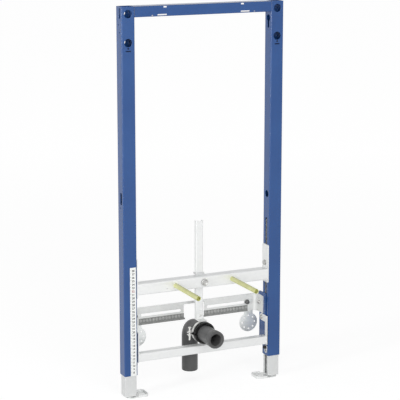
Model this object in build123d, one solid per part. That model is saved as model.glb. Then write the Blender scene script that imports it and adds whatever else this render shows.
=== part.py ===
import os

from build123d import *

# Driving dimensions, in millimetres.
# X runs along the wall to the right, Y runs back into the wall, Z runs up from the floor.
# Depths are counted from the uprights' front face until the export.
frame_width = 500.0
frame_height = 1120.0
stud_spacing = 180.0
stud_height = 320.0

# Clearances
slide_gap = 0.5
thread_gap = 0.2
seat_gap = 0.1
overcut = 1.0

# Inside radius of the folds in the sheet metal
fold = 1.0

# Uprights
leg_width = 40.0
leg_depth = 38.0
leg_wall = 2.0
leg_corner = 3.0
leg_bottom = 68.0
leg_x = frame_width / 2 - leg_width / 2
leg_inner_x = frame_width / 2 - leg_width
leg_mid_y = leg_depth / 2
upper_wall_hole_drop = 20.0
lower_wall_hole_drop = 99.0
access_hole_d = 23.0
wall_hole_d = 13.0
keyhole_d = 20.0
keyhole_neck = 10.0
keyhole_drop = 49.0
keyhole_length = 28.0
keyhole_y = 17.0
side_hole_d = 20.0
side_hole_z = 559.0
adjust_slot_width = 12.0
adjust_slot_bottom = 205.0
adjust_slot_top = 488.0
outer_slot_width = 11.0
outer_slot_y = 15.0
outer_slot_bottom = 567.0
outer_slot_top = 602.0
peep_slot_width = 10.0
peep_slot_drop = 3.0
peep_slot_length = 31.0
peep_slot_y = 12.5
pilot_d = 4.5
middle_pilot_y = 20.0
middle_pilot_z = 558.0
upper_pilot_y = 21.5
upper_pilot_drop = 50.0
front_pilot_drop = 71.0

# Top crossbar
bar_height = 30.0
bar_sheet = 2.0
bar_lip = 20.0
long_notch_inset = 68.0
long_notch_length = 28.5
long_notch_height = 6.5
short_notch_inset = 53.0
short_notch_width = 5.0
short_notch_height = 4.5
top_slot_inset = 86.0
top_slot_length = 10.0
top_slot_height = 4.0

# Crossbar that carries the bidet
traverse_height = 33.0
traverse_depth = 30.0
traverse_sheet = 2.5
traverse_top = stud_height + traverse_height / 2
traverse_bottom = stud_height - traverse_height / 2
end_plate = 3.0
end_plate_depth = 36.0
end_plate_drop = 9.5
end_plate_rise = 71.5
end_plate_corner = 4.0
end_bolt_rise = 32.0
end_bolt_z = stud_height + end_bolt_rise
hex_across = 13.0
hex_height = 5.0
bolt_d = 8.0

# Studs with their sleeves
stud_d = 12.0
stud_tail = 2.0
sleeve_d = 14.0
sleeve_reach = 155.0
stud_recess = 7.0
dowel_hole_d = 3.0
dowel_hole_x = 116.0
dowel_hole_drop = 7.0
nut_across = 19.0
nut_height = 10.0

# Waste bend
drain_z = 167.7
pipe_d = 48.0
pipe_wall = 3.0
pipe_bore = pipe_d - 2 * pipe_wall
pipe_y = 100.0
pipe_bottom = 27.5
bend_radius = 38.0
collar_d = 51.5
collar_front = -80.0
collar_length = 16.0
flare_length = 16.0
seal_bore = 34.0
seal_length = 34.0

# Pipe clamp, whose band lies in a groove of its lining
lining_d = 64.0
lining_front = -8.0
lining_length = 28.0
band = 1.5
band_front = 6.0
band_length = 12.0
band_mid = band_front + band_length / 2
ear_root = 3.0
ear_reach = 16.0
ear_thick = 2.5
ear_gap = 3.0
clamp_bolt_d = 6.0
clamp_bolt_length = 40.0
clamp_bolt_inset = 6.5
clamp_head_d = 10.0
clamp_head = 4.0
hanger_thick = 3.0
hanger_tab = 24.0
clamp_top = drain_z + lining_d / 2
ear_x = -(lining_d - band) / 2
clamp_bolt_x = ear_x - ear_reach + clamp_bolt_inset

# Drain rail
rail_width = 22.5
rail_depth = 12.0
rail_sheet = 1.5
rail_top = 495.0
rail_front = traverse_depth + slide_gap
rail_back = rail_front + rail_depth
rail_bottom = clamp_top + hanger_thick
guide_height = 5.0
guide_wall = 2.0
guide_grip = 4.0
knob_d = 20.0
knob_depth = 8.0
knob_edge = 2.0

# Rear brackets
rear_thick = 2.5
rear_front = 14.0
rear_back_low = 53.0
rear_back_high = 60.0
rear_bottom = 101.0
rear_step = 195.0
rear_top = 258.0
rear_round = 10.0

# Water bracket
bracket_y = 70.0
bracket_sheet = 2.0
bracket_bottom = 193.5
bracket_top = 247.0
bracket_bend = 14.0
bracket_front = 27.0
bracket_x = leg_inner_x - rear_thick
cutout_half = 33.0
cutout_strip = 8.0
screw_head_d = 12.0
screw_head = 4.0
screw_d = 6.0
screw_hole_d = screw_d + 2 * thread_gap
bracket_screw_y = 51.0
bracket_screw_z = 222.0

# Tap connector plates
disc_d = 58.0
disc_inset = 29.0
disc_x = leg_inner_x - disc_inset
disc_z = 158.3
disc_thick = 3.0
disc_front = bracket_y + bracket_sheet + slide_gap
disc_pitch = 40.0
disc_hole_d = 5.0
disc_holes = 8
neck_width = 28.5
neck_top = 236.0
clamp_nut_d = 14.0
clamp_nut = 8.0
clamp_nut_offset = 7.0
water_slot_inner = 42.0
water_slot_run_out = 11.0
water_slot_z = 222.5
water_slot_height = 8.0

# Lower crossbar
low_top = 130.5
low_height = 24.5
low_depth = 22.0
low_sheet = 2.0
low_plate = 2.5
low_plate_x = bracket_x - low_plate
low_plate_depth = 12.0
low_plate_bottom = 104.0
low_plate_top = 192.0
low_ear_back = 45.0
low_ear_height = 20.0
low_ear_flat = 1.0
low_screw_y = 35.0
low_screw_z = 182.0

# Feet
foot_gap = 0.5
foot_wall = 2.0
foot_corner = 2.5
foot_width = leg_width - 2 * leg_wall - 2 * foot_gap
foot_depth = leg_depth - 2 * leg_wall - 2 * foot_gap
foot_bottom = 6.0
foot_top = 480.0
foot_cap = 3.0
foot_slot = 13.0
sole_thick = 3.0
sole_front = -2.0
sole_depth = 50.0
sole_reach = 35.0
sole_inset = 8.0
sole_inner = leg_inner_x - sole_reach
sole_outer = frame_width / 2 - sole_inset
sole_corner = 12.0
sole_rim = 8.0
rim_wall = 2.0
rim_gap = 2.0
boss_d = 24.0
anchor_slot_inset = 14.0
anchor_slot_length = 22.0
anchor_slot_width = 11.0
lock_z = 93.5
right_lock_y = 12.0
left_lock_y = leg_depth - right_lock_y
lock_head_d = 11.0
lock_head = 7.0
lock_plate_width = 14.0
lock_plate_bottom = 75.5
lock_plate = 2.0
lock_eye_d = 8.0
lock_eye_drop = 11.0
lock_eye_z = lock_z - lock_eye_drop

# Height scale on the left upright
label_inset = 3.5
label_width = 18.0
label_top = 387.0
label_thick = 0.4

# The export puts the origin under the middle of the whole part.
origin_shift = (sleeve_reach - (pipe_y + pipe_d / 2)) / 2


def block(x0, x1, y0, y1, z0, z1):
    place = Pos((x0 + x1) / 2, (y0 + y1) / 2, (z0 + z1) / 2)
    return place * Box(abs(x1 - x0), abs(y1 - y0), abs(z1 - z0))


def rod_x(d, y, z, x0, x1):
    return Pos((x0 + x1) / 2, y, z) * Rot(0, 90, 0) * Cylinder(d / 2, abs(x1 - x0))


def rod_y(d, x, z, y0, y1):
    return Pos(x, (y0 + y1) / 2, z) * Rot(90, 0, 0) * Cylinder(d / 2, abs(y1 - y0))


def rod_z(d, x, y, z0, z1):
    return Pos(x, y, (z0 + z1) / 2) * Cylinder(d / 2, abs(z1 - z0))


def hex_x(across, y, z, x0, x1):
    head = extrude(RegularPolygon(across / 2, 6, major_radius=False), abs(x1 - x0))
    return Pos(min(x0, x1), y, z) * Rot(0, 90, 0) * head


def hex_y(across, x, z, y0, y1):
    head = extrude(RegularPolygon(across / 2, 6, major_radius=False), abs(y1 - y0))
    return Pos(x, max(y0, y1), z) * Rot(90, 0, 0) * head


def tall_slot_x(width, y, z0, z1, x0, x1):
    middle = block(x0, x1, y - width / 2, y + width / 2, z0 + width / 2, z1 - width / 2)
    return middle + rod_x(width, y, z0 + width / 2, x0, x1) + rod_x(width, y, z1 - width / 2, x0, x1)


def long_slot_y(height, x0, x1, z, y0, y1):
    middle = block(x0 + height / 2, x1 - height / 2, y0, y1, z - height / 2, z + height / 2)
    return middle + rod_y(height, x0 + height / 2, z, y0, y1) + rod_y(height, x1 - height / 2, z, y0, y1)


def channel(half_length, depth, lip, z0, z1, sheet):
    web = block(-half_length, half_length, 0, sheet, z0, z1)
    top = block(-half_length, half_length, 0, depth, z1 - sheet, z1)
    bottom = block(-half_length, half_length, 0, lip, z0, z0 + sheet)
    bar = web + top + bottom
    bar = fillet(bar.edges().filter_by(Axis.X).group_by(Axis.Y)[1], fold)
    return fillet(bar.edges().filter_by(Axis.X).group_by(Axis.Y)[0], fold + sheet)


def other_side(shape):
    return mirror(shape, about=Plane.YZ)


# Most right-hand pieces are modelled once and the left-hand ones are their mirror images.
def make_upright(lock_y):
    outline = RectangleRounded(leg_width, leg_depth, leg_corner)
    hollow = RectangleRounded(leg_width - 2 * leg_wall, leg_depth - 2 * leg_wall, leg_corner - leg_wall)
    tube = Pos(leg_x, leg_mid_y, leg_bottom) * extrude(outline - hollow, frame_height - leg_bottom)
    inner_face = (leg_inner_x - overcut, leg_inner_x + leg_wall + overcut)
    outer_face = (frame_width / 2 - leg_wall - overcut, frame_width / 2 + overcut)
    for drop in (upper_wall_hole_drop, lower_wall_hole_drop):
        height = frame_height - drop
        tube -= rod_y(access_hole_d, leg_x, height, -overcut, leg_wall + overcut)
        tube -= rod_y(wall_hole_d, leg_x, height, leg_depth - leg_wall - overcut, leg_depth + overcut)
    keyhole_z = frame_height - keyhole_drop
    tube -= rod_x(keyhole_d, keyhole_y, keyhole_z, *inner_face)
    tube -= tall_slot_x(keyhole_neck, keyhole_y, keyhole_z - keyhole_length, keyhole_z, *inner_face)
    tube -= rod_x(side_hole_d, keyhole_y, side_hole_z, *inner_face)
    tube -= tall_slot_x(adjust_slot_width, leg_mid_y, adjust_slot_bottom, adjust_slot_top, *inner_face)
    tube -= tall_slot_x(outer_slot_width, outer_slot_y, outer_slot_bottom, outer_slot_top, *outer_face)
    peep_top = frame_height - peep_slot_drop
    tube -= tall_slot_x(peep_slot_width, peep_slot_y, peep_top - peep_slot_length, peep_top, *outer_face)
    tube -= rod_x(pilot_d, middle_pilot_y, middle_pilot_z, *outer_face)
    tube -= rod_x(pilot_d, upper_pilot_y, frame_height - upper_pilot_drop, *outer_face)
    tube -= rod_x(pilot_d, peep_slot_y, frame_height - front_pilot_drop, *outer_face)
    tube -= rod_x(lock_eye_d, lock_y, lock_eye_z, *inner_face)
    return tube - rod_x(bolt_d + 2 * thread_gap, lock_y, lock_z, *inner_face)


def make_top_crossbar():
    low = frame_height - bar_height
    bar = channel(leg_inner_x, leg_depth, bar_lip, low, frame_height, bar_sheet)
    web = (-overcut, bar_sheet + fold + overcut)
    notch_end = leg_inner_x - long_notch_inset
    cuts = block(notch_end - long_notch_length, notch_end, *web, low - overcut, low + long_notch_height)
    short_x = leg_inner_x - short_notch_inset
    half = short_notch_width / 2
    cuts += block(short_x - half, short_x + half, *web, low - overcut, low + short_notch_height)
    slot_end = leg_inner_x - top_slot_inset
    slot_top = frame_height - bar_sheet
    cuts += block(slot_end - top_slot_length, slot_end, *web, slot_top - top_slot_height, slot_top)
    return bar - cuts - other_side(cuts)


def make_traverse():
    half_length = leg_inner_x - end_plate
    bar = channel(half_length, traverse_depth, traverse_depth, traverse_bottom, traverse_top, traverse_sheet)
    web = (-overcut, traverse_sheet + overcut)
    stud_hole = rod_y(stud_d + 2 * thread_gap, stud_spacing / 2, stud_height, *web)
    bar -= stud_hole
    bar -= other_side(stud_hole)
    bar -= rod_y(dowel_hole_d, -dowel_hole_x, stud_height - dowel_hole_drop, *web)
    return bar - rod_y(bolt_d + 2 * thread_gap, 0, stud_height, *web)


def make_traverse_plate():
    low = traverse_bottom - end_plate_drop
    high = traverse_top + end_plate_rise
    plate = block(leg_inner_x - end_plate, leg_inner_x, 0, end_plate_depth, low, high)
    plate = fillet(plate.edges().filter_by(Axis.X), end_plate_corner)
    hole = (leg_inner_x - end_plate - overcut, leg_inner_x + overcut)
    return plate - rod_x(bolt_d + 2 * thread_gap, leg_mid_y, end_bolt_z, *hole)


def make_traverse_bolt():
    seat = leg_inner_x - end_plate
    bolt = hex_x(hex_across, leg_mid_y, end_bolt_z, seat - hex_height, seat)
    return bolt + rod_x(bolt_d, leg_mid_y, end_bolt_z, seat, leg_inner_x + leg_wall)


def make_stud():
    back = traverse_sheet + nut_height + stud_tail
    return rod_y(stud_d, stud_spacing / 2, stud_height, stud_recess - sleeve_reach, back)


def make_sleeve():
    x = stud_spacing / 2
    tube = rod_y(sleeve_d, x, stud_height, -sleeve_reach, -slide_gap)
    return tube - rod_y(stud_d + 2 * thread_gap, x, stud_height, -sleeve_reach - overcut, overcut)


def make_stud_nut():
    x = stud_spacing / 2
    back = traverse_sheet + nut_height
    nut = hex_y(nut_across, x, stud_height, traverse_sheet, back)
    return nut - rod_y(stud_d + 2 * thread_gap, x, stud_height, 0, back + overcut)


def swept_pipe(d, front, bottom):
    corner = ((0, front, drain_z), (0, pipe_y, drain_z), (0, pipe_y, bottom))
    path = FilletPolyline(*corner, radius=bend_radius)
    return sweep(Plane(origin=path @ 0, z_dir=path % 0) * Circle(d / 2), path=path)


def make_waste_bend():
    collar_back = collar_front + collar_length
    pipe = swept_pipe(pipe_d, collar_front, pipe_bottom)
    pipe += rod_y(collar_d, 0, drain_z, collar_front, collar_back)
    flare = Rot(90, 0, 0) * Cone(pipe_d / 2, collar_d / 2, flare_length)
    pipe += Pos(0, collar_back + flare_length / 2, drain_z) * flare
    return pipe - swept_pipe(pipe_bore, collar_front - overcut, pipe_bottom - overcut)


def make_outlet_seal():
    back = collar_front + seal_length
    seal = rod_y(pipe_bore - 2 * seat_gap, 0, drain_z, collar_front, back)
    return seal - rod_y(seal_bore, 0, drain_z, collar_front - overcut, back + overcut)


def make_clamp_lining():
    back = lining_front + lining_length
    band_back = band_front + band_length
    lining = rod_y(lining_d, 0, drain_z, lining_front, back)
    groove = rod_y(lining_d + overcut, 0, drain_z, band_front - seat_gap, band_back + seat_gap)
    groove -= rod_y(lining_d - 2 * band - 2 * seat_gap, 0, drain_z, lining_front, back)
    lining -= groove
    return lining - rod_y(pipe_d + 2 * seat_gap, 0, drain_z, lining_front - overcut, back + overcut)


def make_pipe_clamp():
    back = band_front + band_length
    seat = ear_gap / 2 + ear_thick
    clamp = rod_y(lining_d, 0, drain_z, band_front, back)
    clamp += block(ear_x - ear_reach, ear_x + ear_root, band_front, back, drain_z - seat, drain_z + seat)
    clamp -= rod_y(lining_d - 2 * band, 0, drain_z, band_front - overcut, back + overcut)
    split = (drain_z - ear_gap / 2, drain_z + ear_gap / 2)
    clamp -= block(ear_x - ear_reach - overcut, 0, band_front - overcut, back + overcut, *split)
    hole_d = clamp_bolt_d + 2 * thread_gap
    return clamp - rod_z(hole_d, clamp_bolt_x, band_mid, drain_z - seat - overcut, drain_z + seat + overcut)


def make_clamp_bolt():
    half = clamp_bolt_length / 2
    seat = ear_gap / 2 + ear_thick
    bolt = rod_z(clamp_bolt_d, clamp_bolt_x, band_mid, drain_z - half, drain_z + half)
    bolt += rod_z(clamp_head_d, clamp_bolt_x, band_mid, drain_z + seat, drain_z + seat + clamp_head)
    return bolt + rod_z(clamp_head_d, clamp_bolt_x, band_mid, drain_z - seat - clamp_head, drain_z - seat)


def make_rail_hanger():
    half = rail_width / 2
    shelf = block(-half, half, band_front, rail_back, clamp_top, rail_bottom)
    tab_back = rail_front - seat_gap
    return shelf + block(-half, half, tab_back - hanger_thick, tab_back, clamp_top, rail_bottom + hanger_tab)


def make_drain_rail():
    half = rail_width / 2
    inside = half - rail_sheet
    rail = block(-half, half, rail_front, rail_back, rail_bottom, rail_top)
    hollow = (rail_front + rail_sheet, rail_back + overcut, rail_bottom - overcut, rail_top + overcut)
    rail -= block(-inside, inside, *hollow)
    rail = fillet(rail.edges().filter_by(Axis.Z).group_by(Axis.Y)[1], fold)
    return fillet(rail.edges().filter_by(Axis.Z).group_by(Axis.Y)[0], fold + rail_sheet)


def make_rail_guide():
    hole = rail_width / 2 + slide_gap
    half = hole + guide_wall
    hole_back = rail_back + slide_gap
    top = traverse_top + guide_height
    clip = block(-half, half, traverse_depth - guide_grip, hole_back + guide_wall, traverse_top, top)
    through = (traverse_top - overcut, top + overcut)
    return clip - block(-hole, hole, rail_front - slide_gap, hole_back, *through)


def make_rail_knob():
    head = rod_y(knob_d, 0, stud_height, -knob_depth, 0)
    head = fillet(head.edges().filter_by(GeomType.CIRCLE).sort_by(Axis.Y)[0], knob_edge)
    return head + rod_y(bolt_d, 0, stud_height, 0, traverse_depth)


def make_rear_bracket():
    plate = block(bracket_x, leg_inner_x, rear_front, rear_back_low, rear_bottom, rear_top)
    plate += block(bracket_x, leg_inner_x, rear_front, rear_back_high, rear_step, rear_top)
    corner = plate.edges().filter_by(Axis.X).group_by(Axis.Z)[-1].sort_by(Axis.Y)[-1]
    plate = fillet(corner, rear_round)
    hole = (bracket_x - overcut, leg_inner_x + overcut)
    plate -= rod_x(screw_hole_d, bracket_screw_y, bracket_screw_z, *hole)
    return plate - rod_x(screw_hole_d, low_screw_y, low_screw_z, *hole)


def bent_strip(half_width, front, back, bend, z0, z1):
    shape = block(-half_width, half_width, front, back, z0, z1)
    return fillet(shape.edges().filter_by(Axis.Z).group_by(Axis.Y)[-1], bend)


def make_water_bracket():
    back = bracket_y + bracket_sheet
    inside_x = bracket_x - bracket_sheet
    sheet = (bracket_y - overcut, back + overcut)
    strip = bent_strip(bracket_x, bracket_front, back, bracket_bend, bracket_bottom, bracket_top)
    strip -= bent_strip(inside_x, bracket_front - overcut, bracket_y, bracket_bend - bracket_sheet,
                        bracket_bottom - overcut, bracket_top + overcut)
    strip -= block(-cutout_half, cutout_half, *sheet, bracket_bottom - overcut, bracket_top - cutout_strip)
    slot_end = disc_x + water_slot_run_out
    cuts = long_slot_y(water_slot_height, water_slot_inner, slot_end, water_slot_z, *sheet)
    cuts += rod_x(screw_hole_d, bracket_screw_y, bracket_screw_z, inside_x - overcut, bracket_x + overcut)
    return strip - cuts - other_side(cuts)


def make_bracket_screw():
    seat = bracket_x - bracket_sheet
    screw = rod_x(screw_head_d, bracket_screw_y, bracket_screw_z, seat - screw_head, seat)
    return screw + rod_x(screw_d, bracket_screw_y, bracket_screw_z, seat, leg_inner_x)


# The tap plates are alike on both sides, so their bolts are off centre the same way.
def make_connector_plate(x):
    back = disc_front + disc_thick
    through = (disc_front - overcut, back + overcut)
    plate = rod_y(disc_d, x, disc_z, disc_front, back)
    plate += block(x - neck_width / 2, x + neck_width / 2, disc_front, back, disc_z, neck_top)
    for index in range(disc_holes):
        spot = Vector(disc_pitch / 2, 0, 0).rotate(Axis.Y, 360 * index / disc_holes)
        plate -= rod_y(disc_hole_d, x + spot.X, disc_z + spot.Z, *through)
    return plate - rod_y(screw_hole_d, x - clamp_nut_offset, water_slot_z, *through)


def make_connector_bolt(x):
    seat = bracket_y - slide_gap
    bolt_x = x - clamp_nut_offset
    bolt = rod_y(clamp_nut_d, bolt_x, water_slot_z, seat - clamp_nut, seat)
    return bolt + rod_y(screw_d, bolt_x, water_slot_z, seat, disc_front + disc_thick)


def make_lower_crossbar():
    return channel(low_plate_x, low_depth, low_depth, low_top - low_height, low_top, low_sheet)


def make_lower_plate():
    plate = block(low_plate_x, bracket_x, 0, low_plate_depth, low_plate_bottom, low_plate_top)
    plate += block(low_plate_x, bracket_x, 0, low_ear_back, low_plate_top - low_ear_height, low_plate_top)
    corners = plate.edges().filter_by(Axis.X).group_by(Axis.Y)[-1]
    plate = fillet(corners, (low_ear_height - low_ear_flat) / 2)
    return plate - rod_x(screw_hole_d, low_screw_y, low_screw_z, low_plate_x - overcut, bracket_x + overcut)


def make_lower_screw():
    screw = rod_x(screw_head_d, low_screw_y, low_screw_z, low_plate_x - screw_head, low_plate_x)
    return screw + rod_x(screw_d, low_screw_y, low_screw_z, low_plate_x, leg_inner_x)


def make_foot_tube():
    outline = RectangleRounded(foot_width, foot_depth, foot_corner)
    hollow_width = foot_width - 2 * foot_wall
    hollow_depth = foot_depth - 2 * foot_wall
    hollow = RectangleRounded(hollow_width, hollow_depth, foot_corner - foot_wall)
    inside = foot_bottom + foot_cap
    tube = Pos(leg_x, leg_mid_y, foot_bottom) * extrude(outline, foot_top - foot_bottom)
    tube -= Pos(leg_x, leg_mid_y, inside) * extrude(hollow, foot_top)
    half = foot_slot / 2
    near = leg_x - foot_width / 2
    slot = (near - overcut, near + foot_wall + overcut, leg_mid_y - half, leg_mid_y + half)
    return tube - block(*slot, inside, foot_top + overcut)


def make_foot_plate():
    mid_x = (sole_inner + sole_outer) / 2
    mid_y = sole_front + sole_depth / 2
    width = sole_outer - sole_inner
    outer = RectangleRounded(width, sole_depth, sole_corner)
    inner = RectangleRounded(width - 2 * rim_wall, sole_depth - 2 * rim_wall, sole_corner - rim_wall)
    sole = Pos(mid_x, mid_y, 0) * extrude(outer, sole_thick)
    rim = Pos(mid_x, mid_y, 0) * extrude(outer - inner, sole_rim)
    sole += rim & block(sole_inner, leg_inner_x - rim_gap, sole_front, sole_front + sole_depth, 0, sole_rim)
    sole += rod_z(boss_d, leg_x, leg_mid_y, 0, foot_bottom)
    slot_x = sole_inner + anchor_slot_inset
    reach = (anchor_slot_length - anchor_slot_width) / 2
    half = anchor_slot_width / 2
    slot = block(slot_x - reach, slot_x + reach, mid_y - half, mid_y + half, -overcut, sole_rim)
    slot += rod_z(anchor_slot_width, slot_x - reach, mid_y, -overcut, sole_rim)
    slot += rod_z(anchor_slot_width, slot_x + reach, mid_y, -overcut, sole_rim)
    return sole - slot


def make_foot_lock(lock_y):
    seat = leg_inner_x - lock_plate
    top = lock_z + lock_plate_width / 2
    lock = tall_slot_x(lock_plate_width, lock_y, lock_plate_bottom, top, seat, leg_inner_x)
    lock -= rod_x(lock_eye_d, lock_y, lock_eye_z, seat - overcut, leg_inner_x + overcut)
    lock += rod_x(lock_head_d, lock_y, lock_z, seat - lock_head, seat)
    return lock + rod_x(bolt_d, lock_y, lock_z, leg_inner_x, leg_inner_x + leg_wall)


def make_scale_label():
    edge = -leg_inner_x - label_inset
    return block(edge - label_width, edge, -label_thick, 0, leg_bottom, label_top)


pairs = {
    "traverse_plate": make_traverse_plate(),
    "traverse_bolt": make_traverse_bolt(),
    "stud": make_stud(),
    "stud_sleeve": make_sleeve(),
    "stud_nut": make_stud_nut(),
    "rear_bracket": make_rear_bracket(),
    "bracket_screw": make_bracket_screw(),
    "lower_plate": make_lower_plate(),
    "lower_screw": make_lower_screw(),
    "foot_tube": make_foot_tube(),
    "foot_plate": make_foot_plate(),
}

pieces = {
    "top_crossbar": make_top_crossbar(),
    "bidet_traverse": make_traverse(),
    "rail_guide": make_rail_guide(),
    "rail_knob": make_rail_knob(),
    "drain_rail": make_drain_rail(),
    "rail_hanger": make_rail_hanger(),
    "waste_bend": make_waste_bend(),
    "outlet_seal": make_outlet_seal(),
    "clamp_lining": make_clamp_lining(),
    "pipe_clamp": make_pipe_clamp(),
    "clamp_bolt": make_clamp_bolt(),
    "water_bracket": make_water_bracket(),
    "lower_crossbar": make_lower_crossbar(),
    "scale_label": make_scale_label(),
    "right_upright": make_upright(right_lock_y),
    "left_upright": other_side(make_upright(left_lock_y)),
    "right_foot_lock": make_foot_lock(right_lock_y),
    "left_foot_lock": other_side(make_foot_lock(left_lock_y)),
    "right_connector_plate": make_connector_plate(disc_x),
    "left_connector_plate": make_connector_plate(-disc_x),
    "right_connector_bolt": make_connector_bolt(disc_x),
    "left_connector_bolt": make_connector_bolt(-disc_x),
}
for name, shape in pairs.items():
    pieces["right_" + name] = shape
    pieces["left_" + name] = other_side(shape)

os.makedirs("parts", exist_ok=True)
for name, shape in pieces.items():
    export_step(Pos(0, origin_shift, 0) * shape, "parts/" + name + ".step")
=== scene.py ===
import math

import bmesh
import bpy
from mathutils import Matrix, Vector


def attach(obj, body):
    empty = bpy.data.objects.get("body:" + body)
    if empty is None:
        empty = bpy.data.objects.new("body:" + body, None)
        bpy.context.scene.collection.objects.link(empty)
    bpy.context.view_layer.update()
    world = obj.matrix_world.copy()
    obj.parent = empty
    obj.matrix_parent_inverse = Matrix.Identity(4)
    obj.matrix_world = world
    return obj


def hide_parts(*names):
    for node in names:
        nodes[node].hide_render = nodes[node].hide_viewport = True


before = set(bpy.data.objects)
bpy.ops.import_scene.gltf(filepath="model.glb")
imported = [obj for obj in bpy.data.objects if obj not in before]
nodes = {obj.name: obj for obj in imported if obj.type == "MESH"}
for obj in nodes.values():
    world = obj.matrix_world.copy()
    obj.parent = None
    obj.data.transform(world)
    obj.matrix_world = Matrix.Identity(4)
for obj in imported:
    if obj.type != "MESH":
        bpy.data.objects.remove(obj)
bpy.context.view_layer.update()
print("frame loaded:", len(nodes), "nodes")

mm = 0.001
wholeTurn = 2 * math.pi
frontFace = 15.5  # depth of the uprights' front face in the frame, mm
toRight = Vector((1, 0, 0))
toFront = Vector((0, -1, 0))
toBack = Vector((0, 1, 0))
upward = Vector((0, 0, 1))
sides = {"left": -1, "right": 1}


def at(x, y, z):  # mm, depth counted from the uprights' front face
    return Vector((x, y + frontFace, z)) * mm


# finishes

noiseSpan = (0.3, 0.7)  # most of a noise lies between these


def newFinish(name):
    mat = bpy.data.materials.new(name)
    mat.use_nodes = True
    tree = mat.node_tree
    place = tree.nodes.new("ShaderNodeTexCoord").outputs["Object"]
    return mat, tree, tree.nodes["Principled BSDF"], place


def stretched(tree, place, scale):
    node = tree.nodes.new("ShaderNodeMapping")
    node.inputs["Scale"].default_value = scale
    tree.links.new(place, node.inputs["Vector"])
    return node.outputs["Vector"]


def noise(tree, place, scale, detail=3.0):
    node = tree.nodes.new("ShaderNodeTexNoise")
    node.inputs["Scale"].default_value = scale
    node.inputs["Detail"].default_value = detail
    tree.links.new(place, node.inputs["Vector"])
    return node.outputs["Fac"]


def spangle(tree, place, scale):
    node = tree.nodes.new("ShaderNodeTexVoronoi")
    node.inputs["Scale"].default_value = scale
    tree.links.new(place, node.inputs["Vector"])
    split = tree.nodes.new("ShaderNodeSeparateColor")
    tree.links.new(node.outputs["Color"], split.inputs["Color"])
    return split.outputs["Red"]


def blendOf(tree, first, second, share):
    node = tree.nodes.new("ShaderNodeMix")
    node.inputs["Factor"].default_value = share
    tree.links.new(first, node.inputs["A"])
    tree.links.new(second, node.inputs["B"])
    return node.outputs["Result"]


def tint(tree, bsdf, amount, dark, light):
    node = tree.nodes.new("ShaderNodeValToRGB")
    ends = node.color_ramp.elements
    ends[0].position, ends[1].position = noiseSpan
    ends[0].color, ends[1].color = (*dark, 1), (*light, 1)
    tree.links.new(amount, node.inputs["Fac"])
    tree.links.new(node.outputs["Color"], bsdf.inputs["Base Color"])


def gloss(tree, bsdf, amount, rough):
    node = tree.nodes.new("ShaderNodeMapRange")
    for socket, value in zip(("From Min", "From Max", "To Min", "To Max"), noiseSpan + rough):
        node.inputs[socket].default_value = value
    tree.links.new(amount, node.inputs["Value"])
    tree.links.new(node.outputs["Result"], bsdf.inputs["Roughness"])


def grain(tree, bsdf, height, strength, depth):
    node = tree.nodes.new("ShaderNodeBump")
    node.inputs["Strength"].default_value = strength
    node.inputs["Distance"].default_value = depth
    tree.links.new(height, node.inputs["Height"])
    tree.links.new(node.outputs["Normal"], bsdf.inputs["Normal"])


# powder coat: slow clouds in the blue, fine orange peel
bluePaint = {"dark": (0.009, 0.064, 0.236), "light": (0.013, 0.075, 0.258), "cloud": 9.0,
             "peel": 620.0, "peelDetail": 1.5, "peelStrength": 0.06, "peelDepth": 0.0002,
             "rough": (0.2, 0.27), "ior": 1.54}


def makeBluePaint(name, look):
    mat, tree, bsdf, place = newFinish(name)
    cloud = noise(tree, place, look["cloud"])
    peel = noise(tree, place, look["peel"], look["peelDetail"])
    tint(tree, bsdf, cloud, look["dark"], look["light"])
    gloss(tree, bsdf, cloud, look["rough"])
    grain(tree, bsdf, peel, look["peelStrength"], look["peelDepth"])
    bsdf.inputs["IOR"].default_value = look["ior"]
    return mat


# sheet metal: spangle of the zinc mixed with rolling lines along one axis
zincSheet = {"dark": (0.825, 0.835, 0.835), "light": (0.855, 0.865, 0.86), "spangle": 170.0,
             "roll": 600.0, "rollDetail": 4.0, "along": (0.06, 1.0, 1.0), "share": 0.7, "metal": 0.28,
             "rough": (0.28, 0.33), "lineStrength": 0.02, "lineDepth": 0.00005, "shine": 0.2}
uprightZinc = {**zincSheet, "along": (1.0, 1.0, 0.06)}
footZinc = {**uprightZinc, "dark": (0.68, 0.69, 0.69), "light": (0.71, 0.72, 0.715)}
pressedSteel = {**zincSheet, "dark": (0.74, 0.75, 0.74), "light": (0.79, 0.80, 0.79), "metal": 0.35,
                "rough": (0.34, 0.42)}
discSteel = {**pressedSteel, "dark": (0.80, 0.82, 0.815), "light": (0.86, 0.88, 0.87), "metal": 0.55,
             "rough": (0.28, 0.36), "along": (1.0, 1.0, 0.1)}
# plate and hem of the toothed edge: the water strip's pressed steel painted darker, as painted shade
paintedShadeToothSteel = {**pressedSteel, "dark": (0.24, 0.245, 0.24), "light": (0.32, 0.325, 0.315), "metal": 0.3}
# crowns of the raised diamonds: the same pressed steel painted lighter, as painted highlight
paintedHighlightCrownSteel = {**pressedSteel, "dark": (0.36, 0.365, 0.36), "light": (0.46, 0.465, 0.455), "metal": 0.3}
zincPlate = {**zincSheet, "dark": (0.66, 0.66, 0.64), "light": (0.78, 0.78, 0.76), "spangle": 400.0,
             "along": (1.0, 1.0, 1.0), "metal": 0.55, "rough": (0.24, 0.36)}
boltSteel = {**zincPlate, "dark": (0.44, 0.44, 0.43), "light": (0.56, 0.56, 0.55), "metal": 0.6}
yellowZinc = {**zincPlate, "dark": (0.42, 0.43, 0.14), "light": (0.54, 0.55, 0.2), "metal": 0.3}
darkZinc = {**zincPlate, "dark": (0.10, 0.10, 0.10), "light": (0.16, 0.16, 0.16), "metal": 0.5}
blackOxide = {**zincPlate, "dark": (0.012, 0.012, 0.013), "light": (0.03, 0.03, 0.032), "spangle": 600.0,
              "metal": 0.3, "rough": (0.32, 0.5)}


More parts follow.
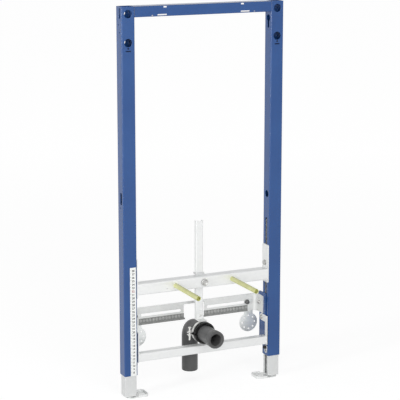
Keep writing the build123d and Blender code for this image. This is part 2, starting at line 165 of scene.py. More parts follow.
def makeSheet(name, look):
    mat, tree, bsdf, place = newFinish(name)
    lines = noise(tree, stretched(tree, place, look["along"]), look["roll"], look["rollDetail"])
    mixed = blendOf(tree, spangle(tree, place, look["spangle"]), lines, look["share"])
    tint(tree, bsdf, mixed, look["dark"], look["light"])
    gloss(tree, bsdf, mixed, look["rough"])
    grain(tree, bsdf, lines, look["lineStrength"], look["lineDepth"])
    bsdf.inputs["Metallic"].default_value = look["metal"]
    bsdf.inputs["Specular IOR Level"].default_value = look["shine"]
    return mat


# moulded parts, film and ink: fine grain on the surface, slow clouds in the colour
drainPlastic = {"dark": (0.105, 0.106, 0.106), "light": (0.125, 0.126, 0.126), "cloud": 25.0,
                "mould": 1400.0, "mouldDetail": 2.0, "grainStrength": 0.05, "grainDepth": 0.0001,
                "rough": (0.3, 0.36), "shine": 0.18}
sealRubber = {**drainPlastic, "dark": (0.10, 0.10, 0.10), "light": (0.13, 0.13, 0.13), "rough": (0.4, 0.5)}
clampRubber = {**drainPlastic, "dark": (0.006, 0.006, 0.006), "light": (0.016, 0.016, 0.016),
               "cloud": 220.0, "rough": (0.2, 0.3)}
sleevePlastic = {**drainPlastic, "dark": (0.65, 0.66, 0.29), "light": (0.73, 0.74, 0.39), "cloud": 60.0,
                 "rough": (0.3, 0.42)}
labelFilm = {**drainPlastic, "dark": (0.88, 0.895, 0.88), "light": (0.92, 0.935, 0.92), "cloud": 80.0,
             "rough": (0.3, 0.4)}
ink = {**drainPlastic, "dark": (0.012, 0.014, 0.012), "light": (0.04, 0.043, 0.04), "cloud": 900.0,
       "rough": (0.45, 0.6), "shine": 0.15}
redInk = {**ink, "dark": (0.28, 0.03, 0.04), "light": (0.38, 0.06, 0.07)}
markInk = {**ink, "dark": (0.002, 0.008, 0.03), "light": (0.005, 0.016, 0.055)}


def makeMoulded(name, look):
    mat, tree, bsdf, place = newFinish(name)
    cloud = noise(tree, place, look["cloud"])
    mould = noise(tree, place, look["mould"], look["mouldDetail"])
    tint(tree, bsdf, cloud, look["dark"], look["light"])
    gloss(tree, bsdf, cloud, look["rough"])
    grain(tree, bsdf, mould, look["grainStrength"], look["grainDepth"])
    bsdf.inputs["Specular IOR Level"].default_value = look["shine"]
    return mat


finish = {
    "bluePaint": makeBluePaint("blue_powder_coat", bluePaint),
    "zincSheet": makeSheet("zinc_sheet", zincSheet),
    "uprightZinc": makeSheet("zinc_sheet_upright", uprightZinc),
    "footZinc": makeSheet("zinc_foot", footZinc),
    "pressedSteel": makeSheet("pressed_steel", pressedSteel),
    "discSteel": makeSheet("pressed_disc", discSteel),
    "paintedShadeToothSteel": makeSheet("toothed_steel_painted_shade", paintedShadeToothSteel),
    "paintedHighlightCrownSteel": makeSheet("tooth_crowns_painted_highlight", paintedHighlightCrownSteel),
    "zincPlate": makeSheet("zinc_plated", zincPlate),
    "boltSteel": makeSheet("bolt_steel", boltSteel),
    "yellowZinc": makeSheet("yellow_zinc", yellowZinc),
    "darkZinc": makeSheet("dark_zinc", darkZinc),
    "blackOxide": makeSheet("black_oxide", blackOxide),
    "drainPlastic": makeMoulded("grey_drain_plastic", drainPlastic),
    "sealRubber": makeMoulded("seal_rubber", sealRubber),
    "clampRubber": makeMoulded("clamp_rubber", clampRubber),
    "sleevePlastic": makeMoulded("yellow_sleeve", sleevePlastic),
    "labelFilm": makeMoulded("white_label_film", labelFilm),
    "ink": makeMoulded("scale_ink", ink),
    "redInk": makeMoulded("scale_red_ink", redInk),
    "markInk": makeMoulded("mark_ink", markInk),
}

nodeFinish = {
    "bluePaint": ["left_upright", "right_upright", "top_crossbar", "left_rear_bracket", "right_rear_bracket"],
    "zincSheet": ["bidet_traverse", "rail_hanger", "lower_crossbar", "left_lower_plate", "right_lower_plate",
                  "left_foot_plate", "right_foot_plate"],
    "uprightZinc": ["left_traverse_plate", "right_traverse_plate", "drain_rail"],
    "footZinc": ["left_foot_tube", "right_foot_tube", "rail_guide"],
    "pressedSteel": ["water_bracket"],
    "discSteel": ["left_connector_plate", "right_connector_plate"],
    "zincPlate": ["left_stud_nut", "right_stud_nut", "pipe_clamp", "clamp_bolt"],
    "boltSteel": ["left_traverse_bolt", "right_traverse_bolt", "left_bracket_screw", "right_bracket_screw",
                  "left_lower_screw", "right_lower_screw", "rail_knob"],
    "yellowZinc": ["left_stud", "right_stud"],
    "darkZinc": ["left_connector_bolt", "right_connector_bolt"],
    "blackOxide": ["left_foot_lock", "right_foot_lock"],
    "drainPlastic": ["waste_bend"],
    "sealRubber": ["outlet_seal"],
    "clampRubber": ["clamp_lining"],
    "sleevePlastic": ["left_stud_sleeve", "right_stud_sleeve"],
    "labelFilm": ["scale_label"],
}
for finishName, nodeNames in nodeFinish.items():
    for nodeName in nodeNames:
        nodes[nodeName].data.materials.clear()
        nodes[nodeName].data.materials.append(finish[finishName])
print("finishes:", len(finish), "on", sum(len(names) for names in nodeFinish.values()), "nodes")

# broken edges on the sheet metal
edgeBreak = {"width": 0.35 * mm, "angle": 40.0, "rounds": 2, "weld": 1e-6, "flatness": 100}
brokenFinishes = ("bluePaint", "zincSheet", "uprightZinc", "footZinc", "pressedSteel", "discSteel")


def breakEdges(piece, look):
    weld = piece.modifiers.new("weld", "WELD")
    weld.merge_threshold = look["weld"]
    bevel = piece.modifiers.new("broken edges", "BEVEL")
    bevel.width = look["width"]
    bevel.segments = look["rounds"]
    bevel.limit_method = "ANGLE"
    bevel.angle_limit = math.radians(look["angle"])
    level = piece.modifiers.new("flat faces", "WEIGHTED_NORMAL")
    level.weight = look["flatness"]


for finishName in brokenFinishes:
    for nodeName in nodeFinish[finishName]:
        breakEdges(nodes[nodeName], edgeBreak)
print("edges broken on the sheet metal")


# mesh tools

def addPiece(name, bm, finishName, body, replaced=(), sharp=35):
    bmesh.ops.recalc_face_normals(bm, faces=bm.faces)
    mesh = bpy.data.meshes.new(name)
    bm.to_mesh(mesh)
    bm.free()
    mesh.shade_smooth()
    mesh.set_sharp_from_angle(angle=math.radians(sharp))
    mesh.materials.append(finish[finishName])
    piece = bpy.data.objects.new(name, mesh)
    bpy.context.scene.collection.objects.link(piece)
    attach(piece, body)
    if replaced:
        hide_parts(*replaced)
    return piece


def stitch(bm, rings, closed=False):  # a ring of one point ends in a fan
    pairs = list(zip(rings, rings[1:]))
    if closed:
        pairs.append((rings[-1], rings[0]))
    for near, far in pairs:
        count = max(len(near), len(far))
        for i in range(count):
            j = (i + 1) % count
            corners = (near[i % len(near)], near[j % len(near)], far[j % len(far)], far[i % len(far)])
            bm.faces.new(list(dict.fromkeys(corners)))


def capEnds(bm, rings):
    bm.faces.new(rings[0])
    bm.faces.new(rings[-1])


def standing(centre, along):  # local Z turned to the given direction
    return Matrix.Translation(centre) @ along.to_track_quat("Z", "Y").to_matrix().to_4x4()


def around(place, radius, angle, height):  # mm, in a frame from standing
    return place @ (Vector((radius * math.cos(angle), radius * math.sin(angle), height)) * mm)


def evenAngles(count):
    return [wholeTurn * i / count for i in range(count)]


def turn(bm, profile, centre, along, segments=40, closed=False):
    place = standing(centre, along)
    angles = evenAngles(segments)
    rings = []
    for radius, height in profile:
        rings.append([bm.verts.new(around(place, radius, angle, height))
                      for angle in (angles if radius > 0 else angles[:1])])
    stitch(bm, rings, closed)


def rectangle(left, right, low, high):
    return [(left, low), (right, low), (right, high), (left, high)]


def plate(bm, outline, low, high, toPoint):  # outline of (u, v) pairs, given thickness along w
    bottom = [bm.verts.new(toPoint(u, v, low)) for u, v in outline]
    top = [bm.verts.new(toPoint(u, v, high)) for u, v in outline]
    stitch(bm, [bottom, top])
    capEnds(bm, [bottom, top])


gripPoints = 4  # of each notch or rib, two stand out and two step in


def steppedIn(i):
    return i % gripPoints >= gripPoints / 2


hexForm = {"crown": 0.96, "slope": 30.0, "mouth": 0.6, "segments": 36}  # crown as a share of the flats


def hexRadius(across, angle):
    return across / 2 / math.cos((angle + math.pi / 6) % (math.pi / 3) - math.pi / 6)


def hexHead(bm, across, low, high, centre, along, bore=0.0):
    place = standing(centre, along)
    crown = across / 2 * hexForm["crown"]
    slope = math.tan(math.radians(hexForm["slope"]))
    mouth = hexForm["mouth"]
    angles = evenAngles(hexForm["segments"])

    def ring(radii, heights):
        return [bm.verts.new(around(place, r, a, h)) for a, r, h in zip(angles, radii, heights)]

    def level(radius, height):
        return ring([radius] * len(angles), [height] * len(angles))

    hexagon = [hexRadius(across, a) for a in angles]
    cut = [(r - crown) * slope for r in hexagon]
    rings = [level(crown, low), ring(hexagon, [low + c for c in cut]),
             ring(hexagon, [high - c for c in cut]), level(crown, high)]
    if bore:
        rings += [level(bore + mouth, high), level(bore, high - mouth), level(bore, low)]
        stitch(bm, rings, True)
    else:
        ends = [[bm.verts.new(around(place, 0, 0, h))] for h in (low, high)]
        stitch(bm, [ends[0]] + rings + [ends[1]])


threadForm = {"depth": 0.58, "rowsPerTurn": 4}  # depth as a share of the pitch


def thread(bm, d, pitch, low, high, centre, along, segments=24):
    place = standing(centre, along)
    depth = threadForm["depth"] * pitch
    rows = round((high - low) / pitch * threadForm["rowsPerTurn"])
    rings = [[bm.verts.new(around(place, 0, 0, low))]]
    for row in range(rows + 1):
        height = low + (high - low) * row / rows
        fromEnd = min(height - low, high - height)
        ring = []
        for i, angle in enumerate(evenAngles(segments)):
            radius = d / 2 - depth * abs(2 * ((height / pitch - i / segments) % 1) - 1)
            radius = min(radius, d / 2 - depth + fromEnd)
            ring.append(bm.verts.new(around(place, radius, angle, height)))
        rings.append(ring)
    rings.append([bm.verts.new(around(place, 0, 0, high))])
    stitch(bm, rings)


shankSink = 0.05  # mm that a shank reaches into its head


def shank(bm, radius, length, centre, along, segments):
    turn(bm, [(0, shankSink), (radius, shankSink), (radius, -length), (0, -length)], centre, along, segments)


# domed head with a six sided socket: outline and socket as shares of radius and height
domeForm = {"outline": [(1.0, 0.0), (1.0, 0.35), (0.92, 0.72), (0.72, 0.95), (0.6, 1.0)],
            "socketFloor": 0.4, "socketPoint": 0.3, "shankR": 3.0, "segments": 36, "shankSegments": 20}


def domedHead(bm, look, centre, along):
    place = standing(centre, along)
    height = look["height"]
    angles = evenAngles(domeForm["segments"])
    rings = [[bm.verts.new(around(place, look["d"] / 2 * wide, a, height * tall)) for a in angles]
             for wide, tall in domeForm["outline"]]
    for h in (height, height * domeForm["socketFloor"]):
        rings.append([bm.verts.new(around(place, hexRadius(look["socket"], a), a, h)) for a in angles])
    rings.append([bm.verts.new(around(place, 0, 0, height * domeForm["socketPoint"]))])
    stitch(bm, [[bm.verts.new(centre)]] + rings)
    shank(bm, domeForm["shankR"], look["shank"], centre, along, domeForm["shankSegments"])


# studs with their sleeves and nuts
stud = {"x": 90.0, "z": 320.0, "d": 12.0, "pitch": 1.75, "tip": 148.0, "tail": -14.5}
sleeve = {"d": 14.0, "bore": 12.4, "front": 155.0, "back": 0.5, "lip": 0.35}
studNut = {"across": 19.0, "low": -12.5, "high": -2.5, "bore": 6.0}
for side, sign in sides.items():
    centre = at(sign * stud["x"], 0, stud["z"])
    bm = bmesh.new()
    thread(bm, stud["d"], stud["pitch"], stud["tail"], stud["tip"], centre, toFront)
    addPiece(side + "_threaded_stud", bm, "yellowZinc", "frame", [side + "_stud"], sharp=60)
    bm = bmesh.new()
    outer, inner, lip = sleeve["d"] / 2, sleeve["bore"] / 2, sleeve["lip"]
    turn(bm, [(inner, sleeve["back"]), (outer - lip, sleeve["back"]), (outer, sleeve["back"] + lip),
              (outer, sleeve["front"] - lip), (outer - lip, sleeve["front"]), (inner + lip, sleeve["front"]),
              (inner, sleeve["front"] - lip)], centre, toFront, closed=True)
    addPiece(side + "_soft_sleeve", bm, "sleevePlastic", "frame", [side + "_stud_sleeve"])
    bm = bmesh.new()
    hexHead(bm, studNut["across"], studNut["low"], studNut["high"], centre, toFront, studNut["bore"])
    addPiece(side + "_hex_nut", bm, "zincPlate", "frame", [side + "_stud_nut"])
print("studs, sleeves and nuts made")

# round knob of the drain rail: dished face inside a rim, radius and height
knob = {"z": 320.0, "segments": 48,
        "face": [(0, 5.6), (5.2, 5.6), (6.2, 6.2), (7.4, 7.7), (8.4, 8.0), (9.4, 7.6), (10.0, 6.6),
                 (10.0, 1.6), (9.3, 0.6), (7.5, 0.0), (4.0, 0.0), (4.0, -30.0), (0, -30.0)]}
bm = bmesh.new()
turn(bm, knob["face"], at(0, 0, knob["z"]), toFront, knob["segments"])
addPiece("round_knob", bm, "boltSteel", "frame", ["rail_knob"], sharp=50)

# hexagon bolts with a flange at the ends of the bidet bar
flangeBolt = {"y": 19.0, "z": 352.0, "seat": 207.0, "across": 13.0, "height": 5.0, "headSink": 0.3,
              "flange": 8.6, "flangeHeight": 1.4, "flangeEdge": 0.5,
              "shankR": 4.0, "shank": 5.0, "shankSegments": 24}


def addFlangeBolt(side, sign, look):
    centre, inward = at(sign * look["seat"], look["y"], look["z"]), toRight * -sign
    flange, top = look["flange"], look["flangeHeight"]
    bm = bmesh.new()
    turn(bm, [(0, 0), (flange, 0), (flange, look["flangeEdge"]), (look["across"] / 2, top), (0, top)],
         centre, inward)
    hexHead(bm, look["across"], top - look["headSink"], look["height"], centre, inward)
    shank(bm, look["shankR"], look["shank"], centre, inward, look["shankSegments"])
    addPiece(side + "_flange_bolt", bm, "boltSteel", "frame", [side + "_traverse_bolt"])


# socket screws at the ends of the water strip
socketScrew = {"y": 51.0, "z": 222.0, "seat": 205.5, "d": 12.0, "height": 4.0, "socket": 5.0, "shank": 4.5}


def addSocketScrew(side, sign, look):
    bm = bmesh.new()
    domedHead(bm, look, at(sign * look["seat"], look["y"], look["z"]), toRight * -sign)
    addPiece(side + "_socket_screw", bm, "boltSteel", "frame", [side + "_bracket_screw"])


# slotted screws of the lower crossbar, dome as shares of radius and height
slotScrew = {"y": 35.0, "z": 182.0, "seat": 205.0, "d": 14.0, "height": 4.0,
             "dome": [(1.0, 0.0), (1.0, 0.5), (0.93, 0.8), (0.75, 0.96)], "slotWidth": 2.6, "slotDepth": 3.0,
             "slotTurn": 35.0, "cutter": 30.0, "shankR": 3.0, "shank": 5.0}


def cutSlot(piece, look, tilt, centre, along):
    size = (look["cutter"] * mm, look["slotWidth"] * mm, 2 * look["slotDepth"] * mm, 1)
    place = standing(centre, along) @ Matrix.Rotation(math.radians(tilt), 4, "Z")
    place = place @ Matrix.Translation((0, 0, look["height"] * mm))
    bm = bmesh.new()
    bmesh.ops.create_cube(bm, size=1.0)
    bmesh.ops.transform(bm, verts=bm.verts, matrix=place @ Matrix.Diagonal(size))
    mesh = bpy.data.meshes.new("slot_cutter")
    bm.to_mesh(mesh)
    bm.free()
    cutter = bpy.data.objects.new("slot_cutter", mesh)
    bpy.context.scene.collection.objects.link(cutter)
    cut = piece.modifiers.new("driver slot", "BOOLEAN")
    cut.operation = "DIFFERENCE"
    cut.object = cutter
    bpy.context.view_layer.update()
    done = bpy.data.meshes.new_from_object(piece.evaluated_get(bpy.context.evaluated_depsgraph_get()))
    piece.modifiers.clear()
    piece.data = done
    bpy.data.objects.remove(cutter)


def addSlottedScrew(side, sign, look):
    centre, inward = at(sign * look["seat"], look["y"], look["z"]), toRight * -sign
    radius, height = look["d"] / 2, look["height"]
    profile = [(0, -look["shank"]), (look["shankR"], -look["shank"]), (look["shankR"], 0)]
    profile += [(radius * wide, height * tall) for wide, tall in look["dome"]] + [(0, height)]
    bm = bmesh.new()
    turn(bm, profile, centre, inward)
    screw = addPiece(side + "_slotted_screw", bm, "boltSteel", "frame",
                     [side + "_lower_screw"])
    cutSlot(screw, look, look["slotTurn"] * sign, centre, inward)


# dark bolts of the tap plates, outline as radius, height and depth of the grip's notches
darkBolt = {"x": {"left": -188.0, "right": 174.0}, "z": 222.5, "seat": 69.5, "notches": 18, "top": 8.0,
            "outline": [(0.5, 0.0, 0.0), (6.2, 0.0, 0.0), (7.0, 0.8, 0.4), (7.0, 4.2, 0.4), (6.5, 5.6, 0.3),
                        (5.4, 6.8, 0.1), (3.6, 7.6, 0.0), (1.8, 7.95, 0.0)],
            "shankR": 3.0, "shank": 6.0, "shankSegments": 24}


def addDarkBolt(side, look):
    centre = at(look["x"][side], look["seat"], look["z"])
    place = standing(centre, toFront)
    angles = evenAngles(look["notches"] * gripPoints)
    bm = bmesh.new()
    rings = [[bm.verts.new(centre)]]
    for radius, height, notch in look["outline"]:
        rings.append([bm.verts.new(around(place, radius - notch * steppedIn(i), angle, height))
                      for i, angle in enumerate(angles)])
    rings.append([bm.verts.new(around(place, 0, 0, look["top"]))])
    stitch(bm, rings)
    shank(bm, look["shankR"], look["shank"], centre, toFront, look["shankSegments"])
    addPiece(side + "_clamp_nut", bm, "darkZinc", side + "_connector",
             [side + "_connector_bolt"])


# lock screws of the feet, each on a small plate with an eye
lockScrew = {"y": {"left": 26.0, "right": 12.0}, "z": 93.5, "seat": 208.0, "d": 11.0, "height": 7.0,
             "socket": 5.0, "shank": 4.0}
lockPlate = {"width": 14.0, "low": 75.5, "high": 100.5, "eye": 4.0, "eyeZ": 82.5, "thick": 2.0, "rounds": 12}


def addLockScrew(side, sign, look):
    bm = bmesh.new()
    domedHead(bm, look, at(sign * look["seat"], look["y"][side], look["z"]), toRight * -sign)
    addPiece(side + "_lock_screw", bm, "blackOxide", "frame", [side + "_foot_lock"])


def addLockPlate(side, sign, look):
    half, thick, eyeR, eyeZ = look["width"] / 2, look["thick"], look["eye"], look["eyeZ"]
    outline = []
    for middle, start in ((look["high"] - half, 0), (look["low"] + half, math.pi)):
        for i in range(look["rounds"] + 1):
            angle = start + math.pi * i / look["rounds"]
            outline.append((half * math.cos(angle), middle + half * math.sin(angle)))
    eye = []
    for u, v in outline:
        angle = math.atan2(v - eyeZ, u)
        eye.append((eyeR * math.cos(angle), eyeZ + eyeR * math.sin(angle)))
    bm = bmesh.new()
    rings = []
    for ring, h in ((outline, 0.0), (outline, -thick), (eye, -thick), (eye, 0.0)):
        x = sign * (lockScrew["seat"] - h)
        rings.append([bm.verts.new(at(x, lockScrew["y"][side] + u, v)) for u, v in ring])
    stitch(bm, rings, True)
    addPiece(side + "_lock_plate", bm, "zincPlate", "frame")


for side, sign in sides.items():
    addFlangeBolt(side, sign, flangeBolt)
    addSocketScrew(side, sign, socketScrew)
    addSlottedScrew(side, sign, slotScrew)
    addDarkBolt(side, darkBolt)
    addLockScrew(side, sign, lockScrew)
    addLockPlate(side, sign, lockPlate)
print("knob, bolts and screws made")

# waste bend: one closed skin swept along the level run, the bend and the drop
# mouth and spigot are steps from r, rim from the bore, each with the run from its own end
bend = {"z": 167.7, "front": -80.0, "drop": 100.0, "bottom": 27.5, "radius": 38.0, "r": 24.0, "bore": 21.0,
        "mouth": [(-2.2, 0.0), (0.7, 0.0), (1.5, 0.3), (1.75, 1.1), (1.75, 15.5), (1.55, 16.0), (0.0, 32.0)],
        "spigot": [(0.0, 3.0), (-1.0, 0.2), (-1.4, 0.0)], "rim": [(0.4, 0.0), (0.0, 0.5)],
        "boreStart": 0.9, "segments": 56, "steps": 14}
levelRun = bend["drop"] - bend["radius"] - bend["front"]
arcRun = bend["radius"] * math.pi / 2
wholeRun = levelRun + arcRun + bend["z"] - bend["radius"] - bend["bottom"]


def alongBend(run):  # point on the pipe's axis, and the ring's second direction
    if run <= levelRun:
        return at(0, bend["front"] + run, bend["z"]), upward
    turned = min((run - levelRun) / bend["radius"], math.pi / 2)
    outward = toBack * math.sin(turned) + upward * math.cos(turned)
    middle = at(0, bend["drop"] - bend["radius"], bend["z"] - bend["radius"])
    point = middle + outward * bend["radius"] * mm
    return point - upward * max(0.0, run - levelRun - arcRun) * mm, outward


def sweepBend(bm, profile, segments):
    rings = []
    for radius, run in profile:
        point, outward = alongBend(run)
        rings.append([bm.verts.new(point + (toRight * math.cos(a) + outward * math.sin(a)) * radius * mm)
                      for a in evenAngles(segments)])
    stitch(bm, rings, True)


bendRuns = [levelRun + arcRun * i / bend["steps"] for i in range(bend["steps"] + 1)]
skin = [(bend["r"] + step, run) for step, run in bend["mouth"]]
skin += [(bend["r"], run) for run in bendRuns]
skin += [(bend["r"] + step, wholeRun - run) for step, run in bend["spigot"]]
skin += [(bend["bore"] + step, wholeRun - run) for step, run in bend["rim"]]
skin += [(bend["bore"], run) for run in reversed(bendRuns)] + [(bend["bore"], bend["boreStart"])]
bm = bmesh.new()
sweepBend(bm, skin, bend["segments"])
addPiece("drain_elbow", bm, "drainPlastic", "drain", ["waste_bend"])

# rubber lip in its front end, with sealing ribs inside
# edge is steps from r, lip and rib are steps from the bore, each with its height or depth
seal = {"r": 20.9, "bore": 17.0, "front": 80.0, "length": 34.0, "edge": [(0.0, -1.0), (-0.3, 0.2)],
        "lip": [(1.6, 0.3), (0.6, -0.4)], "rib": [(0.0, 0.0), (0.0, 1.4), (1.2, 3.0), (1.2, 5.0)],
        "ribs": 3, "ribStep": 8.0, "firstRib": 4.0, "plainEnd": 4.0, "segments": 56}
profile = [(seal["r"], -seal["length"])]
profile += [(seal["r"] + step, height) for step, height in seal["edge"]]
profile += [(seal["bore"] + step, height) for step, height in seal["lip"]]
for rib in range(seal["ribs"]):
    top = -seal["firstRib"] - rib * seal["ribStep"]
    profile += [(seal["bore"] + step, top - depth) for step, depth in seal["rib"]]
profile += [(seal["bore"], -seal["length"] + seal["plainEnd"]), (seal["bore"], -seal["length"])]
bm = bmesh.new()
turn(bm, profile, at(0, -seal["front"], bend["z"]), toFront, seal["segments"], True)
addPiece("lip_seal", bm, "sealRubber", "drain", ["outlet_seal"])
print("waste bend and seal made")

# clamp lining: ribbed rubber ring, open at the left where the band closes
# section is radius, depth, and how far a rib steps back in each
lining = {"ribs": 62, "gap": 2.5, "middle": 28.0, "section": [
    (24.1, 20.0, 0, 0), (24.1, -7.4, 0, 0), (25.0, -8.0, 0, 0), (27.0, -8.0, 0, 0), (27.6, -8.0, 0, 1.0),
    (31.0, -8.0, 0, 1.0), (32.0, -7.0, 0.9, 0), (32.0, 5.0, 0.9, 0), (31.4, 5.8, 0, 0), (30.4, 5.9, 0, 0),
    (30.4, 18.1, 0, 0), (32.0, 18.2, 0, 0), (32.0, 19.4, 0, 0), (31.4, 20.0, 0, 0)]}
bm = bmesh.new()
count = lining["ribs"] * gripPoints
openAngle = math.asin(lining["gap"] / 2 / lining["middle"])
rings = []
for i in range(count + 1):
    angle = math.pi - openAngle - (wholeTurn - 2 * openAngle) * i / count
    ring = []
    for radius, depth, ribIn, ribBack in lining["section"]:
        r, y = radius - ribIn * steppedIn(i), depth + ribBack * steppedIn(i)
        ring.append(bm.verts.new(at(r * math.cos(angle), y, bend["z"] + r * math.sin(angle))))
    rings.append(ring)
stitch(bm, rings)
capEnds(bm, rings)
addPiece("ribbed_lining", bm, "clampRubber", "drain", ["clamp_lining"], sharp=30)

# steel band in the lining's groove, with two ears at the left, the lower one mirrored
clampBand = {"r": 31.25, "thick": 1.5, "front": 9.0, "back": 18.0, "turnIn": 9.0, "steps": 72,
             "ear": [(-47.25, 3.3), (-38.6, 2.8), (-34.6, 3.0), (-33.0, 4.2)]}
bandEdges = {**edgeBreak, "angle": 60.0, "width": 0.25 * mm}
path = list(clampBand["ear"])
for i in range(clampBand["steps"] + 1):
    turned = (360 - 2 * clampBand["turnIn"]) * i / clampBand["steps"]
    angle = math.radians(180 - clampBand["turnIn"] - turned)
    path.append((clampBand["r"] * math.cos(angle), clampBand["r"] * math.sin(angle)))
path += [(x, -z) for x, z in reversed(clampBand["ear"])]
corners = [(1, clampBand["front"]), (1, clampBand["back"]), (-1, clampBand["back"]), (-1, clampBand["front"])]
bm = bmesh.new()
rings = []
for i, (x, z) in enumerate(path):
    before, after = path[max(0, i - 1)], path[min(len(path) - 1, i + 1)]
    run = Vector((after[0] - before[0], after[1] - before[1])).normalized()
    off = Vector((-run.y, run.x)) * clampBand["thick"] / 2
    rings.append([bm.verts.new(at(x + s * off.x, depth, bend["z"] + z + s * off.y)) for s, depth in corners])
stitch(bm, rings)
capEnds(bm, rings)
band = addPiece("clamp_band", bm, "zincPlate", "drain", ["pipe_clamp"])
breakEdges(band, bandEdges)

# clamp screw: mushroom head, threaded shank and a small nut on the outside of each ear
clampScrew = {"x": -40.75, "y": 12.0, "low": -20.0, "high": 17.0, "d": 6.0, "pitch": 1.0, "segments": 20,
              "nut": 9.0, "nutLow": 4.1, "nutHigh": 7.6, "headSegments": 28,
              "head": [(0, 20.0), (2.2, 19.8), (3.9, 19.1), (4.9, 17.8), (5.0, 17.0), (3.2, 16.4), (0, 16.4)]}
centre = at(clampScrew["x"], clampScrew["y"], bend["z"])
bm = bmesh.new()
thread(bm, clampScrew["d"], clampScrew["pitch"], clampScrew["low"], clampScrew["high"], centre, upward,
       clampScrew["segments"])
turn(bm, clampScrew["head"], centre, upward, clampScrew["headSegments"])
for direction in (upward, -upward):
    hexHead(bm, clampScrew["nut"], clampScrew["nutLow"], clampScrew["nutHigh"], centre, direction)
addPiece("clamp_screw", bm, "zincPlate", "drain", ["clamp_bolt"])

# small screw that holds the hanger's tab to the rail
tabScrew = {"y": 27.4, "z": 213.0, "d": 8.0, "height": 2.8, "socket": 3.5, "shank": 4.0}
bm = bmesh.new()
domedHead(bm, tabScrew, at(0, tabScrew["y"], tabScrew["z"]), toFront)
addPiece("tab_screw", bm, "zincPlate", "drain")
print("clamp made")

# toothed edge along the lower front of the water strip: raised diamonds over a rolled hem
toothed = {"inner": 33.0, "outer": 176.0, "low": 193.5, "hem": 199.0, "high": 212.5, "front": 70.0,
           "plate": 0.7, "sink": 0.2, "hemRise": 1.8, "hemLead": 3.0, "hemSteps": 8}
teeth = {"pitch": 10.0, "halfWidth": 0.48, "margin": 0.4, "rise": 1.2, "crown": 0.72, "sink": 0.1}
toothedRun = toothed["outer"] - toothed["inner"]
toothedFace = toothed["front"] - toothed["plate"]


# plate and hem take the darker steel, painted shade over the strip's own colour
def addToothedEdge(side, toPoint, look):
    back = look["front"] + look["sink"]
    bm = bmesh.new()
    plate(bm, rectangle(0, toothedRun, look["hem"], look["high"]), toothedFace, back, toPoint)
    hemHalf = (look["hem"] - look["low"]) / 2
    hemRoot = toothedFace + look["sink"]
    arc = []
    for i in range(look["hemSteps"] + 1):
        angle = math.pi * i / look["hemSteps"]
        arc.append((look["low"] + hemHalf - hemHalf * math.cos(angle),
                    hemRoot - (look["hemRise"] + look["sink"]) * math.sin(angle)))
    arc += [(look["hem"], back), (look["low"], back)]
    ends = [[bm.verts.new(toPoint(u, v, depth)) for v, depth in arc] for u in (-look["hemLead"], toothedRun)]
    stitch(bm, ends)
    capEnds(bm, ends)
    addPiece(side + "_toothed_edge", bm, "paintedShadeToothSteel", "frame", sharp=30)


# the diamonds take the lighter steel, a painted highlight against the painted shade of the plate
def addTeeth(side, toPoint, look):
    count = round(toothedRun / look["pitch"])
    step = toothedRun / count
    middle = (toothed["hem"] + toothed["high"]) / 2
    wide, tall = look["halfWidth"] * step, middle - toothed["hem"] - look["margin"]
    diamond = ((-wide, 0), (0, -tall), (wide, 0), (0, tall))
    bm = bmesh.new()
    for i in range(count):
        u = (i + 0.5) * step
        rings = [[bm.verts.new(toPoint(u + a * share, middle + b * share, depth)) for a, b in diamond]
                 for share, depth in ((1.0, toothedFace + look["sink"]),
                                      (look["crown"], toothedFace - look["rise"]))]
        stitch(bm, rings)
        capEnds(bm, rings)
    addPiece(side + "_raised_teeth", bm, "paintedHighlightCrownSteel", "frame", sharp=30)


for side, sign in sides.items():
    def toothPoint(u, v, depth):  # u counted outwards from the inner end
        return at(sign * (toothed["inner"] + u), depth, v)

    addToothedEdge(side, toothPoint, toothed)
    addTeeth(side, toothPoint, teeth)
print("toothed edges made")

# height scale: a number and a line for each centimetre above the soles
scale = {"first": 8, "last": 38, "step": 10, "red": 32, "x": -221.9, "size": 8.4, "bold": 0.2, "rounds": 3,
         "drop": 2.6, "tickFrom": -231.0, "tickTo": -228.0, "tickHeight": 0.5, "face": -0.4, "ink": 0.04,
         "sink": 0.01}


def printNumber(bm, text, x, z):
    words = bpy.data.curves.new("number", "FONT")
    words.body = text
    words.size = scale["size"] * mm
    words.align_x = "CENTER"
    words.align_y = "CENTER"
    words.extrude = scale["ink"] / 2 * mm
    words.resolution_u = scale["rounds"]
    words.offset = scale["bold"] * mm
    shown = bpy.data.objects.new("number", words)
    mesh = bpy.data.meshes.new_from_object(shown)
    place = Matrix.Translation(at(x, scale["face"] - scale["ink"] / 2, z))
    mesh.transform(place @ Matrix.Rotation(math.pi / 2, 4, "X"))
    bm.from_mesh(mesh)
    bpy.data.objects.remove(shown)
    bpy.data.curves.remove(words)
    bpy.data.meshes.remove(mesh)


def facePoint(u, v, depth):
    return at(u, depth, v)


black, red = bmesh.new(), bmesh.new()
for number in range(scale["first"], scale["last"] + 1):
    height = number * scale["step"]
    bm = red if number == scale["red"] else black
    printNumber(bm, str(number), scale["x"], height - scale["drop"])
    tick = rectangle(scale["tickFrom"], scale["tickTo"], height, height + scale["tickHeight"])
    plate(bm, tick, scale["face"] - scale["ink"], scale["face"] + scale["sink"], facePoint)
addPiece("scale_numbers", black, "ink", "frame", sharp=30)
addPiece("scale_red_number", red, "redInk", "frame", sharp=30)

# metre mark printed under the lower access hole of each upright
metreMark = {"x": 230.0, "line": 998.0, "width": 15.5, "height": 3.4, "dot": 1005.4, "dotR": 2.6,
             "dotPoints": 20, "ink": 0.05, "sink": 0.02}
for side, sign in sides.items():
    bm = bmesh.new()
    x, half, tall = sign * metreMark["x"], metreMark["width"] / 2, metreMark["height"] / 2
    line = rectangle(x - half, x + half, metreMark["line"] - tall, metreMark["line"] + tall)
    dot = [(x + metreMark["dotR"] * math.cos(a), metreMark["dot"] + metreMark["dotR"] * math.sin(a))
           for a in evenAngles(metreMark["dotPoints"])]
    for outline in (line, dot):
        plate(bm, outline, -metreMark["ink"], metreMark["sink"], facePoint)
    addPiece(side + "_metre_mark", bm, "markInk", "frame", sharp=30)
print("scale and marks printed")

